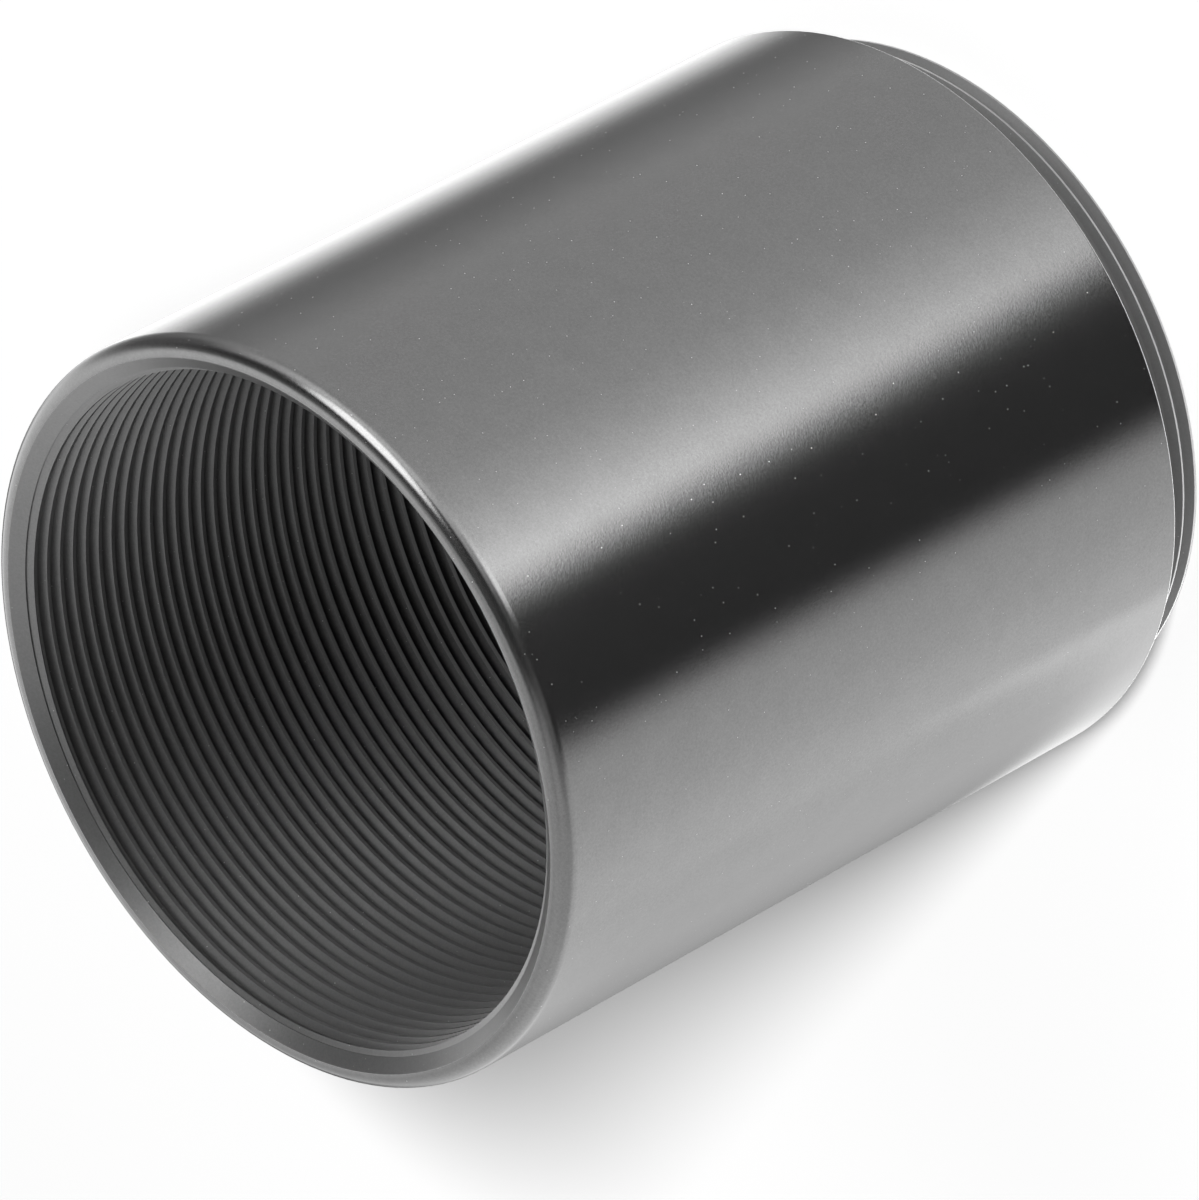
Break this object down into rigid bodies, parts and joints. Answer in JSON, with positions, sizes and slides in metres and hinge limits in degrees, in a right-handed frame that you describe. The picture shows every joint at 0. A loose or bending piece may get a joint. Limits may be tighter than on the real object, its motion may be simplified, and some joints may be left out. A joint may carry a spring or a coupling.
{
  "type": "lens tube",
  "caption": "Threaded lens tube: a plain round barrel, threaded inside from its open mouth, with a short male threaded spigot and a stop lip at the other end.",
  "frame": {"origin": "centre of the male threaded end's face, on the tube's axis: the tube stands on that end", "axes": "+Z along the tube's axis, out of the open internally threaded mouth; X and Y are any pair across it"},
  "size_m": [0.0284, 0.0284, 0.0338],
  "materials": {
    "anodised_aluminium": "fine satin black anodising"
  },
  "bodies": {
    "root": {"lens_tube": "anodised_aluminium"}
  },
  "joints": []
}
